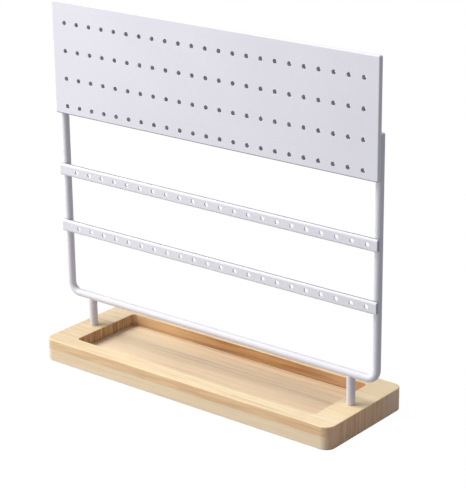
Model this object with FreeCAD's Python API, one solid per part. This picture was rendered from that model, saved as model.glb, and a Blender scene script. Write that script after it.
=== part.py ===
import FreeCAD, Part
import math
import os

from FreeCAD import Vector

# An earring display stand. A bent rod frame on two short posts carries a perforated
# plate and two perforated strips above a wooden base with a shallow pocket.
# Millimetres. +X is the stand's right-hand end, -Y its front, +Z up.
# The origin is in the middle of the base's underside.

# Overall sizes shared by several pieces
stand_width = 300.0
stand_height = 279.0
frame_forward = 3.0
# Wooden base
base_end_inset = 12.5
base_depth = 94.0
base_height = 17.8
base_corner_radius = 8.0
base_edge_round = 0.8
base_foot_chamfer = 0.5
base_end_wall = 22.7
base_side_wall = 13.5
base_floor = 8.0
pocket_corner_radius = 3.0

# Frame bent from one round rod
rod_diameter = 6.0
bend_radius = 8.0
bar_clearance = 21.2
upright_overlap = 33.0
rod_end_chamfer = 0.4

# Posts between the base and the frame's bottom bar
post_diameter = 6.5
post_inset = 12.4
post_saddle = 1.5

# Perforated top plate
plate_height = 88.0
plate_thickness = 4.0
plate_corner_radius = 1.0
plate_edge_chamfer = 0.5
plate_hole_diameter = 3.4
plate_hole_columns = 23
plate_hole_rows = 4
plate_row_pitch = 21.7
plate_top_margin = 16.4
plate_end_margin = 12.5

# Perforated strips, folded from sheet into shallow channels
strip_height = 9.5
strip_depth = 2.8
strip_sheet = 1.2
strip_fold_radius = 0.4
strip_end_inset = 0.8
strip_pitch = 46.25
strip_hole_diameter = 3.4
strip_hole_count = 22
strip_left_margin = 17.2
strip_right_margin = 8.2

# The small holes are drawn with this many straight sides
hole_sides = 12

# Screws from below the base into the posts
screw_diameter = 4.0
screw_head_diameter = 7.0
screw_head_height = 2.6
screw_head_chamfer = 0.8
screw_engagement = 10.0
screw_thread_clearance = 0.05
screw_hole_clearance = 0.25
screw_recess_width = 1.0
screw_recess_length = 4.0
screw_recess_depth = 1.2
counterbore_clearance = 1.0
counterbore_depth = 5.0
post_bore_spare = 2.0

# Places that follow from the sizes
base_length = stand_width - 2 * base_end_inset
rod_radius = rod_diameter / 2
frame_y = -frame_forward
frame_front_y = frame_y - rod_radius
upright_x = stand_width / 2 - rod_radius
bar_z = base_height + bar_clearance + rod_radius
plate_bottom_z = stand_height - plate_height
upright_top_z = plate_bottom_z + upright_overlap
upper_strip_z = plate_bottom_z - strip_pitch
lower_strip_z = upper_strip_z - strip_pitch
post_x = base_length / 2 - post_inset
post_radius = post_diameter / 2


def rounded_rectangle(width, depth, radius):
    """A flat face in the XY plane, centred on the origin, with round corners."""
    x = width / 2
    y = depth / 2
    short = radius * (1 - math.sqrt(0.5))
    sides = []
    corners = []
    for sx, sy in ((1, 1), (-1, 1), (-1, -1), (1, -1)):
        along_x = Vector(sx * (x - radius), sy * y, 0)
        along_y = Vector(sx * x, sy * (y - radius), 0)
        middle = Vector(sx * (x - short), sy * (y - short), 0)
        first, last = (along_y, along_x) if sx * sy > 0 else (along_x, along_y)
        corners.append((first, middle, last))
    for index, (first, middle, last) in enumerate(corners):
        following = corners[(index + 1) % 4][0]
        sides.append(Part.Arc(first, middle, last).toShape())
        sides.append(Part.LineSegment(last, following).toShape())
    return Part.Face(Part.Wire(sides))


def edges_in_plane(shape, axis, value):
    """The edges that lie wholly in the plane axis = value."""
    found = []
    for edge in shape.Edges:
        box = edge.BoundBox
        low = getattr(box, axis + "Min")
        high = getattr(box, axis + "Max")
        if abs(low - value) < 0.001 and abs(high - value) < 0.001:
            found.append(edge)
    return found


def screw_holes():
    """The two counterbored holes through the base, as solids to cut away."""
    shank = screw_diameter / 2 + screw_hole_clearance
    counterbore = screw_head_diameter / 2 + counterbore_clearance
    holes = []
    for side in (-1, 1):
        foot = Vector(side * post_x, frame_y, 0)
        holes.append(Part.makeCylinder(shank, base_height, foot))
        holes.append(Part.makeCylinder(counterbore, counterbore_depth, foot))
    return Part.makeCompound(holes)


def tray_base():
    """The wooden base, cut from one board, with a pocket and rounded corners."""
    outline = rounded_rectangle(base_length, base_depth, base_corner_radius)
    board = outline.extrude(Vector(0, 0, base_height))
    board = board.makeFillet(base_edge_round, edges_in_plane(board, "Z", base_height))
    board = board.makeChamfer(base_foot_chamfer, edges_in_plane(board, "Z", 0))
    pocket_length = base_length - 2 * base_end_wall
    pocket_depth = base_depth - 2 * base_side_wall
    pocket_face = rounded_rectangle(pocket_length, pocket_depth, pocket_corner_radius)
    pocket_face.translate(Vector(0, 0, base_floor))
    pocket = pocket_face.extrude(Vector(0, 0, base_height - base_floor))
    return board.cut(pocket).cut(screw_holes())


def upright(side):
    """One straight upright of the frame, from its bend to its chamfered top end."""
    foot = Vector(side * upright_x, frame_y, bar_z + bend_radius)
    length = upright_top_z - bar_z - bend_radius
    rod = Part.makeCylinder(rod_radius, length, foot)
    return rod.makeChamfer(rod_end_chamfer, edges_in_plane(rod, "Z", upright_top_z))


def bend(side):
    """The quarter turn between an upright and the bottom bar."""
    foot = Vector(side * upright_x, frame_y, bar_z + bend_radius)
    ring = Part.Circle(foot, Vector(0, 0, 1), rod_radius)
    section = Part.Face(Part.Wire(ring.toShape()))
    centre = Vector(side * (upright_x - bend_radius), frame_y, bar_z + bend_radius)
    return section.revolve(centre, Vector(0, side, 0), 90)


def bottom_bar():
    """The frame's bottom bar between its two bends."""
    reach = upright_x - bend_radius
    return Part.makeCylinder(rod_radius, 2 * reach, Vector(-reach, frame_y, bar_z), Vector(1, 0, 0))


def frame():
    """The U-shaped frame, one rod bent twice."""
    pieces = [upright(-1), bend(-1), bend(1), upright(1)]
    return bottom_bar().multiFuse(pieces)


def post(side):
    """A short post, coped to the bar at its top and bored for its screw at its foot."""
    height = bar_clearance + post_saddle
    foot = Vector(side * post_x, frame_y, base_height)
    rod = Part.makeCylinder(post_radius, height, foot)
    bore_radius = screw_diameter / 2 + screw_thread_clearance
    bore = Part.makeCylinder(bore_radius, screw_engagement + post_bore_spare, foot)
    return rod.cut(bottom_bar()).cut(bore)


def hole_tool(diameter, start_y, length):
    """One small hole at x = 0 and z = 0, as a solid that runs back from start_y."""
    corners = []
    for index in range(hole_sides + 1):
        angle = 2 * math.pi * index / hole_sides
        x = diameter / 2 * math.cos(angle)
        z = diameter / 2 * math.sin(angle)
        corners.append(Vector(x, start_y, z))
    return Part.Face(Part.makePolygon(corners)).extrude(Vector(0, length, 0))


def hole_row(first_x, last_x, count, z, tool):
    """A row of copies of the hole, evenly spaced along X at height z."""
    pitch = (last_x - first_x) / (count - 1)
    return [tool.translated(Vector(first_x + index * pitch, 0, z)) for index in range(count)]


def top_plate():
    """The thick plate with its grid of holes, standing against the uprights."""
    face = rounded_rectangle(stand_width, plate_height, plate_corner_radius)
    face.rotate(Vector(0, 0, 0), Vector(1, 0, 0), 90)
    face.translate(Vector(0, frame_front_y, plate_bottom_z + plate_height / 2))
    plate = face.extrude(Vector(0, -plate_thickness, 0))
    front_y = frame_front_y - plate_thickness
    rims = edges_in_plane(plate, "Y", front_y) + edges_in_plane(plate, "Y", frame_front_y)
    plate = plate.makeChamfer(plate_edge_chamfer, rims)
    tool = hole_tool(plate_hole_diameter, front_y, plate_thickness)
    reach = stand_width / 2 - plate_end_margin
    holes = []
    for row in range(plate_hole_rows):
        z = stand_height - plate_top_margin - row * plate_row_pitch
        holes += hole_row(-reach, reach, plate_hole_columns, z, tool)
    return plate.cut(Part.makeCompound(holes))


def channel_section(z):
    """The strip's section in the YZ plane: a front web with a fold above and below."""
    outer = strip_fold_radius + strip_sheet
    front = frame_front_y - strip_depth
    bend_y = front + outer
    half = strip_height / 2
    diagonal = math.sqrt(0.5)
    edges = []

    def line(y1, z1, y2, z2):
        edges.append(Part.LineSegment(Vector(0, y1, z + z1), Vector(0, y2, z + z2)).toShape())

    def fold(radius, side):
        centre_z = side * (half - outer)
        start = Vector(0, bend_y - radius, z + centre_z)
        middle = Vector(0, bend_y - radius * diagonal, z + centre_z + side * radius * diagonal)
        end = Vector(0, bend_y, z + centre_z + side * radius)
        edges.append(Part.Arc(start, middle, end).toShape())

    for side in (-1, 1):
        fold(outer, side)
        fold(strip_fold_radius, side)
        line(bend_y, side * half, frame_front_y, side * half)
        line(frame_front_y, side * half, frame_front_y, side * (half - strip_sheet))
        line(frame_front_y, side * (half - strip_sheet), bend_y, side * (half - strip_sheet))
    line(front, outer - half, front, half - outer)
    line(front + strip_sheet, outer - half, front + strip_sheet, half - outer)
    return Part.Face(Part.Wire(Part.__sortEdges__(edges)))


def strip(z):
    """One folded strip across both uprights, with its row of holes through the web."""
    reach = stand_width / 2 - strip_end_inset
    section = channel_section(z)
    section.translate(Vector(-reach, 0, 0))
    channel = section.extrude(Vector(2 * reach, 0, 0))
    first_x = strip_left_margin - reach
    last_x = reach - strip_right_margin
    tool = hole_tool(strip_hole_diameter, frame_front_y - strip_depth, strip_sheet)
    holes = hole_row(first_x, last_x, strip_hole_count, z, tool)
    return channel.cut(Part.makeCompound(holes))


def base_screw(side):
    """A pan-head screw from the counterbore up into the post, with a cross recess."""
    head_z = counterbore_depth - screw_head_height
    foot = Vector(side * post_x, frame_y, head_z)
    head = Part.makeCylinder(screw_head_diameter / 2, screw_head_height, foot)
    head = head.makeChamfer(screw_head_chamfer, edges_in_plane(head, "Z", head_z))
    length = base_height + screw_engagement - counterbore_depth
    seat = Vector(side * post_x, frame_y, counterbore_depth)
    shank = Part.makeCylinder(screw_diameter / 2, length, seat)
    screw = head.fuse(shank)
    long = screw_recess_length
    short = screw_recess_width
    for along, across in ((long, short), (short, long)):
        corner = foot - Vector(along / 2, across / 2, 0)
        screw = screw.cut(Part.makeBox(along, across, screw_recess_depth, corner))
    return screw


def base_screws():
    """Both screws as one group of separate solids."""
    return Part.makeCompound([base_screw(-1), base_screw(1)])


def main():
    nodes = {
        "tray_base": tray_base(),
        "frame": frame(),
        "left_post": post(-1),
        "right_post": post(1),
        "top_plate": top_plate(),
        "upper_strip": strip(upper_strip_z),
        "lower_strip": strip(lower_strip_z),
        "base_screws": base_screws(),
    }
    os.makedirs("parts", exist_ok=True)
    for name, shape in nodes.items():
        shape.exportStep("parts/" + name + ".step")


main()
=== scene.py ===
import math

import bmesh
import bpy
from mathutils import Matrix, Vector
from mathutils.geometry import delaunay_2d_cdt

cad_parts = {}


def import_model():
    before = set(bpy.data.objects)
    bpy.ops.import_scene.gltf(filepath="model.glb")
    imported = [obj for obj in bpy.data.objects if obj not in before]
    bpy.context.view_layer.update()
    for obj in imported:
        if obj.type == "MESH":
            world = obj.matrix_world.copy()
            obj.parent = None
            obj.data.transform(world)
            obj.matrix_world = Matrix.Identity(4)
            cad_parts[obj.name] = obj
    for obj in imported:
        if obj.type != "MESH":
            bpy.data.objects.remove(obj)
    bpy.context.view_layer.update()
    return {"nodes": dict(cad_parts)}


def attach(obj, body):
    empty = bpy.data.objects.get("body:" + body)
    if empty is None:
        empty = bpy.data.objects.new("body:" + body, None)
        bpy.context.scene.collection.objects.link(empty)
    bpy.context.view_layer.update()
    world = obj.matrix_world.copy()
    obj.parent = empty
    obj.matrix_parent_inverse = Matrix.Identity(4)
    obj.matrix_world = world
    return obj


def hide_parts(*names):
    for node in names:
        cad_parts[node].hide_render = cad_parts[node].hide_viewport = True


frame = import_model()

# Sizes in metres, in the same frame as the solids

ROD_Y = -0.003
ROD_RADIUS = 0.003
ROD_END_CHAMFER = 0.0004
UPRIGHT_X = 0.147
UPRIGHT_TOP = 0.224
UPRIGHT_STATIONS = (0.18, 0.12, 0.07)
BEND_RADIUS = 0.008
BEND_STEPS = 14
BAR_Z = 0.042

POST_X = 0.1251
POST_RADIUS = 0.00325
POST_TOP = 0.0405
POST_CAP_RADIUS = 0.0020
POST_CAP_DROP = 0.0012

BASE_LENGTH = 0.275
BASE_DEPTH = 0.094
BASE_TOP = 0.0178
BASE_CORNER = 0.008
BASE_FOOT_EDGE = 0.0005
BASE_TOP_EDGE = 0.0008

POCKET_LENGTH = 0.2296
POCKET_DEPTH = 0.067
POCKET_FLOOR = 0.008
POCKET_CORNER = 0.003
POCKET_TOP_EDGE = 0.0006
POCKET_FLOOR_EDGE = 0.0005

COUNTERBORE_RADIUS = 0.0045
COUNTERBORE_TOP = 0.005
BORE_RADIUS = 0.00225
BORE_TOP = 0.0172

HOLE_RADIUS = 0.0017
FACE_BACK = -0.006

PLATE_FRONT = -0.010
PLATE_WIDTH = 0.300
PLATE_BOTTOM = 0.191
PLATE_TOP = 0.279
PLATE_EDGE = 0.0008
PLATE_CORNER = 0.0014
PLATE_HOLE_RIM = 0.0002
PLATE_ROWS = [0.2626 - i * 0.0217 for i in range(4)]
PLATE_COLUMNS = [-0.1375 + i * 0.0125 for i in range(23)]

STRIP_HEIGHT = 0.0095
STRIP_Z = (0.14475, 0.0985)
STRIP_FRONT = -0.0088
STRIP_REACH = 0.1492
STRIP_SHEET = 0.0012
STRIP_FOLD = 0.0016
STRIP_TIP_EDGE = 0.00015
STRIP_HOLE_RIM = 0.00018
STRIP_COLUMNS = [-0.132 + i * 0.013 for i in range(22)]


def outline(width, height, radius, steps=8):
    """A closed loop of points round a rectangle with round corners."""
    points = []
    corners = ((1, 1, 0), (-1, 1, 90), (-1, -1, 180), (1, -1, 270))
    for sx, sy, start in corners:
        cx = sx * (width / 2 - radius)
        cy = sy * (height / 2 - radius)
        for i in range(steps + 1):
            a = math.radians(start + 90 * i / steps)
            points.append((cx + radius * math.cos(a), cy + radius * math.sin(a)))
    return points


def circle(cx, cy, radius, count=40):
    """A closed loop of points round a circle."""
    turns = [2 * math.pi * i / count for i in range(count)]
    return [(cx + radius * math.cos(a), cy + radius * math.sin(a)) for a in turns]


def quarter(radius, steps=4):
    """Points (in, down) of a quarter round from a face to the side below it."""
    turns = [math.radians(90 * i / steps) for i in range(steps + 1)]
    return [(radius * (1 - math.sin(a)), radius * (1 - math.cos(a))) for a in turns]


class Builder:
    """Collects the points and faces of one piece."""

    def __init__(self):
        self.points = []
        self.faces = []
        self.smooth = []
        self.second = set()

    def loop(self, points):
        """Adds a ring of points and returns their numbers."""
        first = len(self.points)
        self.points.extend(points)
        return list(range(first, len(self.points)))

    def face(self, corners, smooth=False):
        self.faces.append(corners)
        self.smooth.append(smooth)

    def bridge(self, a, b, smooth=True, second=False):
        """Joins two rings of the same length. The faces may take the second material."""
        start = len(self.faces)
        count = len(a)
        for i in range(count):
            j = (i + 1) % count
            self.face((a[i], a[j], b[j], b[i]), smooth)
        if second:
            self.second.update(range(start, len(self.faces)))

    def skin(self, rings):
        """Joins each ring to the next one."""
        for first, second in zip(rings, rings[1:]):
            self.bridge(first, second)

    def flat(self, outer, holes):
        """Fills the space between an outer ring and its holes, all in one plane."""
        rings = [outer] + holes
        index = [i for ring in rings for i in ring]
        spots = [Vector(self.points[i]) for i in index]
        spans = [max(s[k] for s in spots) - min(s[k] for s in spots) for k in range(3)]
        u, v = [k for k in range(3) if k != spans.index(min(spans))]
        to_millimetres = 1000
        verts = [Vector((s[u] * to_millimetres, s[v] * to_millimetres)) for s in spots]
        edges = []
        owner = []
        for number, ring in enumerate(rings):
            start = len(owner)
            count = len(ring)
            edges += [(start + i, start + (i + 1) % count) for i in range(count)]
            owner += [number] * count
        inside_only, tolerance = 1, 1e-6
        out = delaunay_2d_cdt(verts, edges, [], inside_only, tolerance)
        triangles, sources = out[2], out[3]
        first_of = [source[0] for source in sources]
        for triangle in triangles:
            corners = [first_of[i] for i in triangle]
            owners = {owner[i] for i in corners}
            if owners == {0} or len(owners) > 1:
                self.face(tuple(index[i] for i in corners))

    def finish(self, name, materials, node):
        """Makes the object, which stands for one CAD node."""
        mesh = bpy.data.meshes.new(name)
        mesh.from_pydata(self.points, [], self.faces)
        numbers = [int(i in self.second) for i in range(len(self.faces))]
        mesh.polygons.foreach_set("use_smooth", self.smooth)
        mesh.polygons.foreach_set("material_index", numbers)
        mesh.validate()
        mesh.update()
        piece = bpy.data.objects.new(name, mesh)
        bpy.context.scene.collection.objects.link(piece)
        fix_normals(mesh)
        even = piece.modifiers.new("even_shading", "WEIGHTED_NORMAL")
        even.weight = 100
        even.keep_sharp = True
        for material in materials:
            mesh.materials.append(material)
        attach(piece, "root")
        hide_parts(node)


def fix_normals(mesh):
    """Merges points that coincide and turns every face outwards."""
    same_place = 1e-7
    bm = bmesh.new()
    bm.from_mesh(mesh)
    bmesh.ops.remove_doubles(bm, verts=bm.verts, dist=same_place)
    bmesh.ops.recalc_face_normals(bm, faces=bm.faces)
    bm.to_mesh(mesh)
    bm.free()


# Materials


class Nodes:
    """A short hand for building a node tree."""

    def __init__(self, tree):
        self.tree = tree

    def link(self, source, target):
        self.tree.links.new(source, target)

    def fill(self, socket, value):
        """Gives a socket a link or a plain value."""
        if isinstance(value, bpy.types.NodeSocket):
            self.link(value, socket)
        else:
            socket.default_value = value

    def add(self, kind, inputs=None, **settings):
        node = self.tree.nodes.new(kind)
        for key, value in settings.items():
            setattr(node, key, value)
        for key, value in (inputs or {}).items():
            self.fill(node.inputs[key], value)
        return node

    def parts(self, vector):
        """The X, Y and Z of a vector."""
        return self.add("ShaderNodeSeparateXYZ", {0: vector}).outputs

    def noise(self, vector, scale, detail=4, rough=0.55):
        values = {"Vector": vector, "Scale": scale, "Detail": detail, "Roughness": rough}
        return self.add("ShaderNodeTexNoise", values).outputs["Fac"]

    def span(self, value, low, high, to_low=0.0, to_high=1.0):
        """Maps low..high to to_low..to_high, and holds the value beyond both."""
        values = {"Value": value, "From Min": low, "From Max": high}
        values.update({"To Min": to_low, "To Max": to_high})
        return self.add("ShaderNodeMapRange", values).outputs["Result"]

    def math(self, kind, a, b=0.0):
        return self.add("ShaderNodeMath", {0: a, 1: b}, operation=kind).outputs[0]

    def times(self, a, b):
        return self.math("MULTIPLY", a, b)

    def minus(self, a, b):
        return self.math("SUBTRACT", a, b)

    def size_of(self, value):
        return self.math("ABSOLUTE", value)

    def mix(self, factor, a, b, blend="MIX"):
        """Colour a where the factor is 0 and b where it is 1."""
        node = self.add("ShaderNodeMix", data_type="RGBA", blend_type=blend)
        first_colour, second_colour, colour_out = 6, 7, 2
        for number, value in ((0, factor), (first_colour, a), (second_colour, b)):
            self.fill(node.inputs[number], value)
        return node.outputs[colour_out]

    def bump(self, height, distance, strength):
        values = {"Height": height, "Distance": distance, "Strength": strength}
        return self.add("ShaderNodeBump", values).outputs["Normal"]

    def openness(self, distance):
        """0 in a tight corner and 1 on an open face."""
        values = {"Distance": distance}
        return self.add("ShaderNodeAmbientOcclusion", values, samples=8).outputs["AO"]

    def seen(self):
        """1 where the camera sees the surface, also through a reflection."""
        rays = self.add("ShaderNodeLightPath").outputs
        seen = self.math("MAXIMUM", rays["Is Camera Ray"], rays["Is Glossy Ray"])
        return self.math("MAXIMUM", seen, rays["Is Transmission Ray"])


class Finish(Nodes):
    """The node tree of one material."""

    def __init__(self, name):
        self.material = bpy.data.materials.new(name)
        self.material.use_nodes = True
        super().__init__(self.material.node_tree)
        self.shader = self.tree.nodes["Principled BSDF"]
        self.place = self.add("ShaderNodeTexCoord").outputs["Object"]

    def facing(self):
        """The X, Y and Z of the surface's direction, in the object's own axes."""
        return self.parts(self.add("ShaderNodeTexCoord").outputs["Normal"])

    def stretched(self, scale):
        values = {"Vector": self.place, "Scale": scale}
        return self.add("ShaderNodeMapping", values).outputs["Vector"]

    def done(self, colour, roughness, normal, constants):
        """Links what varies, and sets what doesn't on the shader's own sockets."""
        self.link(colour, self.shader.inputs["Base Color"])
        self.link(roughness, self.shader.inputs["Roughness"])
        self.link(normal, self.shader.inputs["Normal"])
        for key, value in constants.items():
            self.shader.inputs[key].default_value = value
        return self.material


def paint_material(name, tone, line=None):
    """White powder coat with a faint orange-peel surface.

    The line, where there is one, is painted shade along an edge: the axis that crosses it, the
    places where it starts and is full, its depth, and whether it lies on upward faces alone.
    """
    # The tone scales these colours: the rod's and the posts' lower tones are painted shade, the
    # strips' slightly higher one is painted light.
    deep, pale, dull = [
        tuple(tone * part for part in coat) + (1,)
        for coat in ((0.79, 0.785, 0.85), (0.825, 0.815, 0.875), (0.77, 0.765, 0.83))
    ]
    painted_corner_shade_grey = (0.17, 0.17, 0.20, 1)
    edge_shade_grey = (0.20, 0.20, 0.23, 1)
    corner_reach = 0.005
    peel_depth = 0.00002

    n = Finish(name)
    cloud = n.span(n.noise(n.place, 14, 3), 0.35, 0.65)
    speck = n.span(n.noise(n.place, 620, 3), 0.3, 0.7)
    colour = n.mix(cloud, deep, pale)
    colour = n.mix(n.times(speck, 0.25), colour, dull)
    # Painted shade: the coat turns grey in corners and where parts meet.
    colour = n.mix(n.span(n.openness(corner_reach), 0.12, 0.62), painted_corner_shade_grey, colour)
    if line:
        axis, start, full, depth, on_top = line
        amount = n.span(n.parts(n.place)[axis], start, full, 0.0, depth)
        if on_top:
            amount = n.times(amount, n.span(n.facing()["Z"], 0.4, 0.8))
        colour = n.mix(amount, colour, edge_shade_grey)
    roughness = n.span(speck, 0, 1, 0.42, 0.55)
    peel = n.noise(n.place, 1100, 2, 0.5)
    normal = n.bump(peel, peel_depth, 0.6)
    return n.done(colour, roughness, normal, {"Specular IOR Level": 0.45})


def drilled_material(name, dark, pale):
    """The coat on the walls of the small holes."""
    grain_depth = 0.00002

    n = Finish(name)
    tone = n.span(n.noise(n.place, 700, 3), 0.3, 0.7)
    roughness = n.span(tone, 0, 1, 0.55, 0.7)
    normal = n.bump(n.noise(n.place, 1600, 2), grain_depth, 0.5)
    return n.done(n.mix(tone, dark, pale), roughness, normal, {"Specular IOR Level": 0.3})


def screw_material():
    """Zinc-plated steel with fine turning marks."""
    dark_zinc = (0.50, 0.51, 0.52, 1)
    pale_zinc = (0.64, 0.65, 0.66, 1)
    mark_depth = 0.00002

    n = Finish("zinc_steel")
    tone = n.span(n.noise(n.place, 900, 4), 0.3, 0.7)
    roughness = n.span(tone, 0, 1, 0.28, 0.42)
    normal = n.bump(n.noise(n.stretched((1, 1, 8)), 1500, 2), mark_depth, 0.5)
    return n.done(n.mix(tone, dark_zinc, pale_zinc), roughness, normal, {"Metallic": 1.0})


class Wood(Finish):
    """Pale wood, sawn lengthways, with darker routed and end-grain faces."""

    def __init__(self):
        super().__init__("pale_wood")
        facing = self.facing()
        self.spot = self.parts(self.place)
        self.up = self.size_of(facing["Z"])
        self.side = self.minus(1.0, self.up)
        self.end = self.span(self.size_of(facing["X"]), 0.35, 0.9)
        self.long_side = self.times(self.side, self.minus(1.0, self.end))
        self.make_grain()

    def make_grain(self):
        """Lengthwise streaks that wander a little, from broad to fine."""
        wander_y, wander_z = 0.012, 0.006
        self.long_way = self.stretched((0.035, 1, 1))
        bend = self.noise(self.stretched((0.25, 1, 1)), 18, 2)
        sway = {"Y": self.times(bend, wander_y), "Z": self.times(bend, wander_z)}
        ways = {0: self.long_way, 1: self.add("ShaderNodeCombineXYZ", sway).outputs[0]}
        self.along = self.add("ShaderNodeVectorMath", ways, operation="ADD").outputs[0]
        self.broad = self.span(self.noise(self.along, 75, 3, 0.5), 0.34, 0.66)
        self.streak = self.span(self.noise(self.along, 260, 3, 0.55), 0.47, 0.64)
        self.narrow = self.span(self.noise(self.along, 620, 4, 0.6), 0.40, 0.66)
        self.fine = self.noise(self.stretched((0.02, 1, 1)), 1500, 3, 0.6)
        pores = self.noise(self.stretched((0.07, 1, 1)), 1000, 2, 0.5)
        self.pores = self.span(pores, 0.59, 0.70)

    def board(self):
        """The sawn faces. Painted shade makes the top a little darker at its left end, and painted
        light makes it paler at its right.
        """
        warm = (0.86, 0.66, 0.38, 1)
        pale = (0.885, 0.745, 0.495, 1)
        streak_tan = (0.68, 0.49, 0.29, 1)
        line_tan = (0.68, 0.48, 0.29, 1)
        pore_brown = (0.50, 0.33, 0.17, 1)
        painted_left_shade = (0.86, 0.855, 0.87, 1)
        painted_right_light = (0.97, 0.79, 0.50, 1)
        left_zone = (-0.118, -0.065)
        right_zone = (0.108, 0.130)

        colour = self.mix(self.broad, warm, pale)
        colour = self.mix(self.times(self.streak, 0.5), colour, streak_tan)
        colour = self.mix(self.times(self.narrow, 0.45), colour, line_tan)
        colour = self.mix(self.times(self.pores, 0.30), colour, pore_brown)
        top_face = self.span(self.up, 0.6, 0.9)
        # Painted shade on the top's left end.
        left = self.times(self.span(self.spot["X"], *left_zone, 1.0, 0.0), top_face)
        colour = self.mix(left, colour, painted_left_shade, "MULTIPLY")
        # Painted light on the top's right end.
        right = self.times(self.span(self.spot["X"], *right_zone, 0.0, 0.42), top_face)
        return self.mix(right, colour, painted_right_light)

    def long_sides(self, colour):
        """A darker layer over a paler one, with a wavering seam and less depth at the left."""
        pale_tan = (0.85, 0.565, 0.31, 1)
        deep_tan = (0.67, 0.405, 0.205, 1)
        lower_cream = (0.926, 0.738, 0.528, 1)
        seam_height, seam_wander = 0.0098, 0.0012
        seam_blur = (-0.0002, 0.0003)
        left_zone = (-0.13, 0.0)

        waver = self.minus(self.noise(self.long_way, 60, 2), 0.5)
        seam = self.math("ADD", seam_height, self.times(waver, seam_wander))
        layer = self.span(self.minus(self.spot["Z"], seam), *seam_blur)
        layer = self.times(layer, self.long_side)
        tan = self.mix(self.narrow, pale_tan, deep_tan)
        depth = self.span(self.spot["X"], *left_zone, 0.45, 0.78)
        below = self.times(self.minus(self.long_side, layer), 0.5)
        colour = self.mix(below, colour, lower_cream)
        return self.mix(self.times(layer, depth), colour, tan)

    def end_grain(self, colour):
        """Upright bands on the two ends, with painted shade along the foot and painted light that
        makes them paler towards the back.
        """
        band_brown = (0.68, 0.38, 0.20, 1)
        band_tan = (0.92, 0.60, 0.355, 1)
        patch_pink = (0.76, 0.53, 0.40, 1)
        painted_foot_shade = (0.12, 0.08, 0.05, 1)
        painted_back_light = (0.97, 0.80, 0.60, 1)
        foot_zone = (0.0005, 0.0012)
        back_zone = (0.014, 0.042)

        bands = self.noise(self.stretched((1, 1, 0.05)), 420, 3, 0.6)
        patches = self.noise(self.stretched((1, 1, 0.2)), 70, 2, 0.5)
        grain = self.mix(self.span(bands, 0.36, 0.64), band_brown, band_tan)
        grain = self.mix(self.times(self.span(patches, 0.42, 0.62), 0.25), grain, patch_pink)
        # Painted shade: a dark line along the foot, where the end meets the floor.
        foot = self.span(self.spot["Z"], *foot_zone, 0.55, 0.0)
        grain = self.mix(foot, grain, painted_foot_shade)
        # Painted light: the ends turn paler towards the back.
        back = self.span(self.spot["Y"], *back_zone, 0.0, 0.6)
        grain = self.mix(back, grain, painted_back_light)
        return self.mix(self.times(self.end, 0.9), colour, grain)

    def pocket(self, colour):
        """The routed walls and floor, with painted shade darkening the corners."""
        reach, floor_reach, corner_reach = 0.0004, 0.0006, 0.006
        painted_corner_shade_brown = (0.20, 0.085, 0.03, 1)

        across = self.size_of(self.spot["X"])
        deep = self.size_of(self.spot["Y"])
        inside_x = self.math("LESS_THAN", across, POCKET_LENGTH / 2 + reach)
        inside_y = self.math("LESS_THAN", deep, POCKET_DEPTH / 2 + reach)
        inside = self.times(inside_x, inside_y)
        wall = self.times(inside, self.span(self.side, 0.4, 0.8))
        routed = self.mix(self.end, self.long_wall(), self.cross_wall())
        colour = self.mix(self.times(wall, 0.88), colour, routed)
        low = self.math("LESS_THAN", self.spot["Z"], POCKET_FLOOR + floor_reach)
        zone = self.times(self.times(inside, low), self.span(self.up, 0.6, 0.9))
        colour = self.mix(self.times(zone, 0.75), colour, self.pocket_floor())
        # Painted shade: the pocket's corners turn dark brown where little light reaches.
        open_air = self.openness(corner_reach)
        corner = self.times(self.span(open_air, 0.35, 0.85, 0.6, 0.0), inside)
        return self.mix(corner, colour, painted_corner_shade_brown)

    def long_wall(self):
        """The pocket's long walls: streaked brown, paler at both ends."""
        light_brown = (0.56, 0.285, 0.105, 1)
        deep_brown = (0.31, 0.13, 0.035, 1)
        left_tan = (0.90, 0.62, 0.34, 1)
        right_tan = (0.90, 0.62, 0.40, 1)
        left_zone = (-0.10, -0.02)
        right_zone = (0.05, 0.10)

        grain = self.span(self.noise(self.along, 380, 4, 0.6), 0.42, 0.61)
        colour = self.mix(grain, light_brown, deep_brown)
        left = self.span(self.spot["X"], *left_zone, 0.7, 0.0)
        right = self.span(self.spot["X"], *right_zone, 0.0, 0.3)
        return self.mix(right, self.mix(left, colour, left_tan), right_tan)

    def cross_wall(self):
        """The pocket's short walls: upright end grain."""
        deep_brown = (0.26, 0.135, 0.055, 1)
        pale_brown = (0.70, 0.44, 0.22, 1)

        bands = self.noise(self.stretched((1, 1, 0.06)), 480, 3, 0.6)
        return self.mix(self.span(bands, 0.36, 0.64), deep_brown, pale_brown)

    def pocket_floor(self):
        """The pocket's floor: soft streaks, with painted light making the left end paler."""
        floor_tan = (0.85, 0.65, 0.43, 1)
        streak_brown = (0.70, 0.505, 0.35, 1)
        pore_brown = (0.42, 0.27, 0.16, 1)
        painted_left_light = (0.97, 0.79, 0.55, 1)
        left_zone = (-0.112, -0.03)

        streak = self.span(self.noise(self.along, 190, 4, 0.6), 0.42, 0.62)
        colour = self.mix(streak, floor_tan, streak_brown)
        colour = self.mix(self.times(self.pores, 0.12), colour, pore_brown)
        # Painted light on the floor's left end, against the left wall's shadow.
        left = self.span(self.spot["X"], *left_zone, 0.75, 0.0)
        return self.mix(left, colour, painted_left_light)

    def finished(self):
        grain_depth = 0.00004
        colour = self.pocket(self.end_grain(self.long_sides(self.board())))
        roughness = self.span(self.narrow, 0, 1, 0.5, 0.62)
        height = self.minus(self.times(self.fine, 0.7), self.times(self.pores, 0.8))
        normal = self.bump(height, grain_depth, 0.7)
        return self.done(colour, roughness, normal, {"Specular IOR Level": 0.35})


# Pieces


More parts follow.
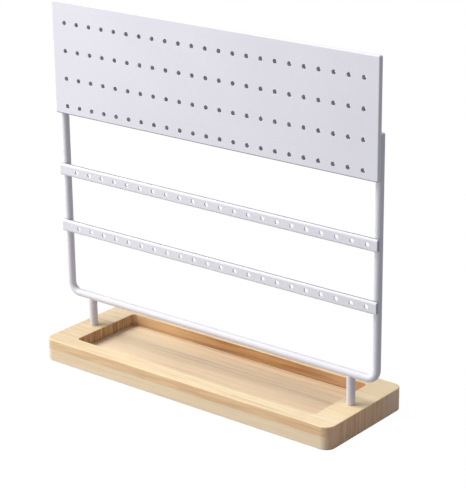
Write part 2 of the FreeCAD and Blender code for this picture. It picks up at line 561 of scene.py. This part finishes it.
def softened_sheet(rim, front, back, ring):
    """Rings from a sheet's front to its back with both edges softened."""
    rings = [ring(inset, front + depth) for inset, depth in rim]
    return rings + [ring(inset, back - depth) for inset, depth in reversed(rim)]


def hole_wall(b, x, z, front, back, rim):
    """A round hole through a sheet, with both rims softened. Returns its outermost rings."""
    softening = quarter(rim, steps=3)

    def ring(inset, y):
        return b.loop([(u, y, v) for u, v in circle(x, z, HOLE_RADIUS + inset)])

    rings = softened_sheet(softening, front, back, ring)
    straight_part = len(softening) - 1
    for number, (first, second) in enumerate(zip(rings, rings[1:])):
        b.bridge(first, second, second=number == straight_part)
    return rings[0], rings[-1]


def drill(b, columns, rows, front, back, rim):
    """Hole walls at every column of every row. Returns their front and back rings."""
    ends = [hole_wall(b, x, z, front, back, rim) for z in rows for x in columns]
    return [end[0] for end in ends], [end[1] for end in ends]


def top_plate(materials):
    b = Builder()
    middle = (PLATE_BOTTOM + PLATE_TOP) / 2
    height = PLATE_TOP - PLATE_BOTTOM

    def ring(inset, y):
        loop = outline(PLATE_WIDTH - 2 * inset, height - 2 * inset, PLATE_CORNER - inset)
        return b.loop([(x, y, middle + z) for x, z in loop])

    rings = softened_sheet(quarter(PLATE_EDGE), PLATE_FRONT, FACE_BACK, ring)
    b.skin(rings)
    fronts, backs = drill(b, PLATE_COLUMNS, PLATE_ROWS, PLATE_FRONT, FACE_BACK, PLATE_HOLE_RIM)
    b.flat(rings[0], fronts)
    b.flat(rings[-1], backs)
    b.finish("perforated_plate", materials, "top_plate")


def fold_arc(radius, steps=5):
    """The strip's upper fold in section: points (y, height above the strip's middle)."""
    y = STRIP_FRONT + STRIP_FOLD
    height = STRIP_HEIGHT / 2 - STRIP_FOLD
    turns = [math.radians(90 * i / steps) for i in range(steps + 1)]
    return [(y - radius * math.cos(a), height + radius * math.sin(a)) for a in turns]


def strip(name, z, materials, node):
    """A shallow channel folded from sheet, open to the back."""
    b = Builder()
    half = STRIP_HEIGHT / 2
    under = half - STRIP_SHEET
    tip = STRIP_TIP_EDGE
    outside = fold_arc(STRIP_FOLD) + [(FACE_BACK - tip, half), (FACE_BACK, half - tip)]
    inside = [(FACE_BACK, under + tip), (FACE_BACK - tip, under)]
    inside += reversed(fold_arc(STRIP_FOLD - STRIP_SHEET))
    upper = outside + inside
    section = upper + [(y, -v) for y, v in reversed(upper)]
    count = len(upper)
    left, right = [
        b.loop([(x, y, z + v) for y, v in section]) for x in (-STRIP_REACH, STRIP_REACH)
    ]
    for i in range(len(section) - 1):
        if i != count - 1:
            b.face((left[i], left[i + 1], right[i + 1], right[i]), True)
    for end in (left, right):
        for i in range(len(outside) - 1):
            j = count - 1 - i
            b.face((end[i], end[i + 1], end[j - 1], end[j]))
        for i in range(len(outside) - 1):
            j = 2 * count - 1 - i
            k = count + i
            b.face((end[k], end[k + 1], end[j - 1], end[j]))
        b.face((end[0], end[count - 1], end[count], end[2 * count - 1]))
    web_back = STRIP_FRONT + STRIP_SHEET
    fronts, backs = drill(b, STRIP_COLUMNS, [z], STRIP_FRONT, web_back, STRIP_HOLE_RIM)
    b.flat([left[0], right[0], right[-1], left[-1]], fronts)
    b.flat([left[count - 1], right[count - 1], right[count], left[count]], backs)
    b.finish(name, materials, node)


def rounded_rings(b, length, depth, corner, stations):
    """Level rings of a rounded rectangle, one for each (inset, z)."""
    rings = []
    for inset, z in stations:
        loop = outline(length - 2 * inset, depth - 2 * inset, corner - inset, steps=12)
        rings.append(b.loop([(x, y, z) for x, y in loop]))
    return rings


def screw_bore(b, x):
    """A counterbored blind hole from below. Returns its ring on the underside."""
    steps = (
        (COUNTERBORE_RADIUS, 0.0),
        (COUNTERBORE_RADIUS, COUNTERBORE_TOP),
        (BORE_RADIUS, COUNTERBORE_TOP),
        (BORE_RADIUS, BORE_TOP),
    )
    rings = [b.loop([(u, v, z) for u, v in circle(x, ROD_Y, radius)]) for radius, z in steps]
    b.bridge(rings[0], rings[1])
    b.bridge(rings[1], rings[2], smooth=False)
    b.bridge(rings[2], rings[3])
    b.face(tuple(rings[3]))
    return rings[0]


def tray(material):
    """The wooden board with its pocket and screw holes."""
    b = Builder()
    top_edge = reversed(quarter(BASE_TOP_EDGE, steps=5))
    sides = [(BASE_FOOT_EDGE, 0.0), (0.0, BASE_FOOT_EDGE)]
    sides += [(inset, BASE_TOP - down) for inset, down in top_edge]
    outer = rounded_rings(b, BASE_LENGTH, BASE_DEPTH, BASE_CORNER, sides)
    b.skin(outer)
    floor_edge = reversed(quarter(POCKET_FLOOR_EDGE, steps=3))
    walls = [(-inset, BASE_TOP - down) for inset, down in quarter(POCKET_TOP_EDGE)]
    walls += [(inset, POCKET_FLOOR + down) for inset, down in floor_edge]
    inner = rounded_rings(b, POCKET_LENGTH, POCKET_DEPTH, POCKET_CORNER, walls)
    b.skin(inner)
    b.bridge(outer[-1], inner[0], smooth=False)
    b.face(tuple(inner[-1]))
    bores = [screw_bore(b, side * POST_X) for side in (-1, 1)]
    b.flat(outer[0], bores)
    b.finish("wooden_base", [material], "tray_base")


def frame_leg(side):
    """The bent rod's stations from one upright's top to the bar: ((x, z), radius)."""
    x = side * UPRIGHT_X
    leg = [
        ((x, UPRIGHT_TOP), ROD_RADIUS - ROD_END_CHAMFER),
        ((x, UPRIGHT_TOP - ROD_END_CHAMFER), ROD_RADIUS),
    ]
    leg += [((x, z), ROD_RADIUS) for z in UPRIGHT_STATIONS]
    for i in range(BEND_STEPS + 1):
        a = math.radians(90 * i / BEND_STEPS)
        bend_x = side * (UPRIGHT_X - BEND_RADIUS + BEND_RADIUS * math.cos(a))
        leg.append(((bend_x, BAR_Z + BEND_RADIUS - BEND_RADIUS * math.sin(a)), ROD_RADIUS))
    return leg


def bent_frame(material):
    """One round rod bent twice into a U."""
    b = Builder()
    path = frame_leg(-1) + list(reversed(frame_leg(1)))
    rings = []
    for index, ((x, z), radius) in enumerate(path):
        before = path[max(index - 1, 0)][0]
        after = path[min(index + 1, len(path) - 1)][0]
        heading = Vector((after[0] - before[0], 0, after[1] - before[1])).normalized()
        lift = Vector((0, 1, 0)).cross(heading)
        middle = Vector((x, ROD_Y, z))
        ring = [middle + lift * u + Vector((0, v, 0)) for u, v in circle(0, 0, radius)]
        rings.append(b.loop([tuple(point) for point in ring]))
    b.skin(rings)
    b.face(tuple(rings[0]))
    b.face(tuple(rings[-1]))
    b.finish("bent_rod_frame", [material], "frame")


def post(name, side, material, node):
    """A short round rod whose head is coped to fit under the bar."""
    b = Builder()
    x = side * POST_X
    wall = circle(x, ROD_Y, POST_RADIUS, count=64)
    foot = b.loop([(u, v, BASE_TOP) for u, v in wall])
    head = []
    for u, v in wall:
        off = abs(v - ROD_Y)
        under_bar = BAR_Z - math.sqrt(max(ROD_RADIUS**2 - off**2, 0.0))
        head.append((u, v, min(POST_TOP, under_bar)))
    head = b.loop(head)
    cap = circle(x, ROD_Y, POST_CAP_RADIUS, count=64)
    cap = b.loop([(u, v, BAR_Z - POST_CAP_DROP) for u, v in cap])
    b.skin([foot, head, cap])
    b.face(tuple(foot))
    b.face(tuple(cap))
    b.finish(name, [material], node)


# Painted shade along the plate's lower edge and along the back edge of the strips' upward faces.
plate_edge_shade = ("Z", 0.1921, 0.1915, 0.9, False)
strip_fold_shade = ("Y", -0.0077, -0.0072, 0.85, True)
# Painted shade: the rod and the posts take darker copies of the plate's coat; painted light: the
# strips take a slightly paler one.
shaded_rod_paint = paint_material("white_powder_coat_rod_painted_shade", 0.93)
shaded_post_paint = paint_material("white_powder_coat_posts_painted_shade", 0.84)
plate_paint = paint_material("white_powder_coat_plate", 1.0, plate_edge_shade)
strip_paint = paint_material("white_powder_coat_strips", 1.01, strip_fold_shade)
# Painted shade: the plate's hole walls are a darker grey than the coat, for the shade deep in the
# holes; the strips' hole walls keep nearly the coat's own white.
plate_hole_shade = drilled_material("plate_hole_painted_shade", (0.48, 0.48, 0.52, 1), (0.60, 0.60, 0.65, 1))
punched = drilled_material("punched_edge", (0.80, 0.80, 0.84, 1), (0.88, 0.88, 0.92, 1))
wood = Wood().finished()
steel = screw_material()

top_plate([plate_paint, plate_hole_shade])
strip("strip_above", STRIP_Z[0], [strip_paint, punched], "upper_strip")
strip("strip_below", STRIP_Z[1], [strip_paint, punched], "lower_strip")
bent_frame(shaded_rod_paint)
post("post_at_left", -1, shaded_post_paint, "left_post")
post("post_at_right", 1, shaded_post_paint, "right_post")
tray(wood)

screws = frame["nodes"]["base_screws"]
screws.data.materials.clear()
screws.data.materials.append(steel)


# Floor, light and camera

FLOOR_HALF = 4
FLOOR_GREY = (0.30, 0.30, 0.30, 1)
FLOOR_BRIGHTNESS = 1.05
FLOOR_SHARE_OF_WHITE = 0.94

SKY_COLOUR = (0.88, 0.91, 1.0, 1)
SKY_STRENGTH = 0.36

PHOTO_WIDTH = 466
CAMERA_AZIMUTH = 38.85
CAMERA_ELEVATION = 19.79
CAMERA_ROLL = -0.65
CAMERA_DISTANCE = 1.35064
CAMERA_AIM = (0.01336, 0, 0.11369)
CAMERA_FOCAL_PIXELS = 1829.08
CAMERA_SHIFT_PIXELS = (2.55, 1.67)
SENSOR_WIDTH = 36


def floor():
    """A pale floor that is white to the camera and still takes the stand's shadow."""
    n = Finish("pale_floor")
    white = {"Color": (1, 1, 1, 1), "Strength": FLOOR_BRIGHTNESS}
    matt = n.add("ShaderNodeBsdfDiffuse", {"Color": FLOOR_GREY}).outputs[0]
    bright = n.add("ShaderNodeEmission", white).outputs[0]
    share = n.times(n.seen(), FLOOR_SHARE_OF_WHITE)
    blend = n.add("ShaderNodeMixShader", {0: share, 1: matt, 2: bright})
    n.link(blend.outputs[0], n.tree.nodes["Material Output"].inputs["Surface"])
    n.tree.nodes.remove(n.shader)
    mesh = bpy.data.meshes.new("floor")
    corners = [(x * FLOOR_HALF, y * FLOOR_HALF, 0) for x, y in ((-1, -1), (1, -1), (1, 1), (-1, 1))]
    mesh.from_pydata(corners, [], [(0, 1, 2, 3)])
    mesh.materials.append(n.material)
    plane = bpy.data.objects.new("floor", mesh)
    bpy.context.scene.collection.objects.link(plane)


def world():
    """Soft light from all round, with white behind the stand."""
    sky = bpy.data.worlds.new("studio")
    bpy.context.scene.world = sky
    sky.use_nodes = True
    n = Nodes(sky.node_tree)
    n.tree.nodes.clear()
    soft = {"Color": SKY_COLOUR, "Strength": SKY_STRENGTH}
    white = {"Color": (1, 1, 1, 1), "Strength": 1.0}
    fill = n.add("ShaderNodeBackground", soft).outputs[0]
    backdrop = n.add("ShaderNodeBackground", white).outputs[0]
    blend = n.add("ShaderNodeMixShader", {0: n.seen(), 1: fill, 2: backdrop})
    n.add("ShaderNodeOutputWorld", {"Surface": blend.outputs[0]})


def softbox(name, spot, aim, size, power, colour=(1, 1, 1)):
    """A square lamp that faces its aim."""
    data = bpy.data.lights.new(name, "AREA")
    data.shape = "RECTANGLE"
    data.size = data.size_y = size
    data.energy = power
    data.color = colour
    lamp = bpy.data.objects.new(name, data)
    lamp.location = spot
    lamp.rotation_euler = (Vector(aim) - Vector(spot)).to_track_quat("-Z", "Y").to_euler()
    bpy.context.scene.collection.objects.link(lamp)


def camera():
    """The photograph's camera, with the angle, distance and shift fitted to its points."""
    azimuth, elevation, roll = [
        math.radians(angle) for angle in (CAMERA_AZIMUTH, CAMERA_ELEVATION, CAMERA_ROLL)
    ]
    level = math.cos(elevation)
    back = Vector((math.sin(azimuth) * level, -math.cos(azimuth) * level, math.sin(elevation)))
    right = (-back).cross(Vector((0, 0, 1))).normalized()
    up = right.cross(-back)
    turned_right = right * math.cos(roll) + up * math.sin(roll)
    turned_up = up * math.cos(roll) - right * math.sin(roll)
    data = bpy.data.cameras.new("camera")
    data.sensor_fit = "HORIZONTAL"
    data.sensor_width = SENSOR_WIDTH
    data.lens = CAMERA_FOCAL_PIXELS / PHOTO_WIDTH * SENSOR_WIDTH
    data.shift_x, data.shift_y = [pixels / PHOTO_WIDTH for pixels in CAMERA_SHIFT_PIXELS]
    data.clip_end = 20
    eye = bpy.data.objects.new("camera", data)
    turn = Matrix((turned_right, turned_up, back)).transposed().to_4x4()
    place = Vector(CAMERA_AIM) + back * CAMERA_DISTANCE
    eye.matrix_world = Matrix.Translation(place) @ turn
    bpy.context.scene.collection.objects.link(eye)
    bpy.context.scene.camera = eye


floor()
world()
softbox("key", (-1.19, -0.43, 1.73), (0, 0, 0.12), 1.2, 45.2)
softbox("left_fill", (-1.45, -1.75, 0.45), (0, 0, 0.15), 0.9, 22.2, (1.0, 0.97, 0.94))
camera()
bpy.context.scene.view_settings.view_transform = "Standard"
